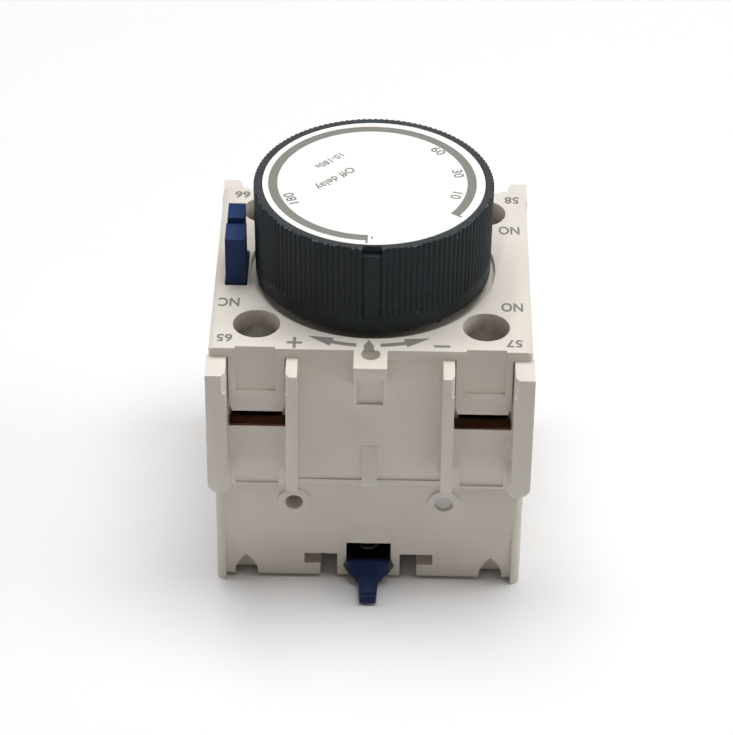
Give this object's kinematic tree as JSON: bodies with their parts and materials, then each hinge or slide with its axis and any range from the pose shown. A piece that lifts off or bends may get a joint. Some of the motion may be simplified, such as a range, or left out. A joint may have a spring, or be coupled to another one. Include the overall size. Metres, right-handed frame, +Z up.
{
  "type": "time delay contact block",
  "caption": "Clip-on time delay contact block: white housing, ribbed dial knob, guarded screw terminals, position indicator and sprung release latch.",
  "frame": {"origin": "centre of the bounding box on the plane of the side skirts' feet", "axes": "+Z up along the knob's axis away from the contactor, -Y towards the front with the release latch, +X to the right seen from the front"},
  "size_m": [0.044, 0.0484, 0.0551],
  "materials": {
    "housing": "fine satin moulded polyamide, warm white",
    "knob_charcoal": "fine ribbed moulding, satin charcoal",
    "dial_white": "printed disc, satin white with grey print",
    "navy_plastic": "satin moulded navy blue",
    "grey_plastic": "moulded mid grey",
    "pin_grey": "plain moulded grey pin",
    "black_plastic": "glass-filled black moulding",
    "brass": "stamped brass",
    "copper": "dull tarnished copper alloy",
    "zinc": "zinc-plated steel",
    "silver": "silver alloy contact rivets",
    "spring_steel": "drawn spring steel",
    "bellows_rubber": "soft black moulded rubber",
    "felt": "pressed felt ring"
  },
  "bodies": {
    "housing": {"base_housing": "housing", "upper_housing": "housing", "assembly_pins": "pin_grey", "terminal_front_left": "brass", "terminal_front_right": "brass", "terminal_rear_left": "brass", "terminal_rear_right": "brass", "clamp_front_left": "copper", "clamp_front_right": "copper", "clamp_rear_left": "copper", "clamp_rear_right": "copper", "fixed_contact_tips": "silver", "air_head": "grey_plastic", "air_filter": "felt"},
    "knob": {"timing_knob": "knob_charcoal", "dial_disc": "dial_white", "timing_disc": "brass", "adjusting_spindle": "spring_steel", "spindle_clip": "spring_steel", "knob_spring": "spring_steel"},
    "drive": {"drive_carriage": "grey_plastic", "position_indicator": "navy_plastic", "return_springs": "spring_steel", "bellows": "bellows_rubber", "bellows_plate": "zinc"},
    "contacts": {"contact_carrier": "black_plastic", "bridge_closed": "brass", "bridge_open": "brass", "contact_spring_closed": "spring_steel", "contact_spring_open": "spring_steel", "moving_contact_tips": "silver"},
    "latch": {"release_latch": "navy_plastic", "latch_spring": "spring_steel"},
    "front_left_screw": {"screw_front_left": "zinc"},
    "front_right_screw": {"screw_front_right": "zinc"},
    "rear_left_screw": {"screw_rear_left": "zinc"},
    "rear_right_screw": {"screw_rear_right": "zinc"}
  },
  "joints": [
    {"name": "knob_turn", "type": "hinge", "parent": "housing", "child": "knob", "pos_m": [0, 0.00026, 0.041], "axis": [0, 0, 1], "range_deg": [0, 300]},
    {"name": "drive_slide", "type": "slide", "parent": "housing", "child": "drive", "axis": [0, 0, 1], "range_m": [-0.0035, 0], "stiffness_N_per_m": 300, "springref_m": 0.004, "deforming": ["bellows", "return_springs"]},
    {"name": "contact_slide", "type": "slide", "parent": "housing", "child": "contacts", "axis": [0, 0, 1], "range_m": [-0.0016, 0]},
    {"name": "latch_slide", "type": "slide", "parent": "housing", "child": "latch", "axis": [0, 0, 1], "range_m": [0, 0.0018], "stiffness_N_per_m": 400, "springref_m": -0.002, "deforming": ["latch_spring"]},
    {"name": "front_left_screw_turn", "type": "hinge", "parent": "housing", "child": "front_left_screw", "pos_m": [-0.01552, -0.01367, 0.03005], "axis": [0, 0, 1], "range_deg": [0, 360]},
    {"name": "front_right_screw_turn", "type": "hinge", "parent": "housing", "child": "front_right_screw", "pos_m": [0.01552, -0.01367, 0.03005], "axis": [0, 0, 1], "range_deg": [0, 360]},
    {"name": "rear_left_screw_turn", "type": "hinge", "parent": "housing", "child": "rear_left_screw", "pos_m": [-0.01552, 0.01419, 0.03005], "axis": [0, 0, 1], "range_deg": [0, 360]},
    {"name": "rear_right_screw_turn", "type": "hinge", "parent": "housing", "child": "rear_right_screw", "pos_m": [0.01552, 0.01419, 0.03005], "axis": [0, 0, 1], "range_deg": [0, 360]}
  ],
  "couplings": [
    {"joint": "contact_slide", "follows": "drive_slide", "ratio": 0.457}
  ]
}
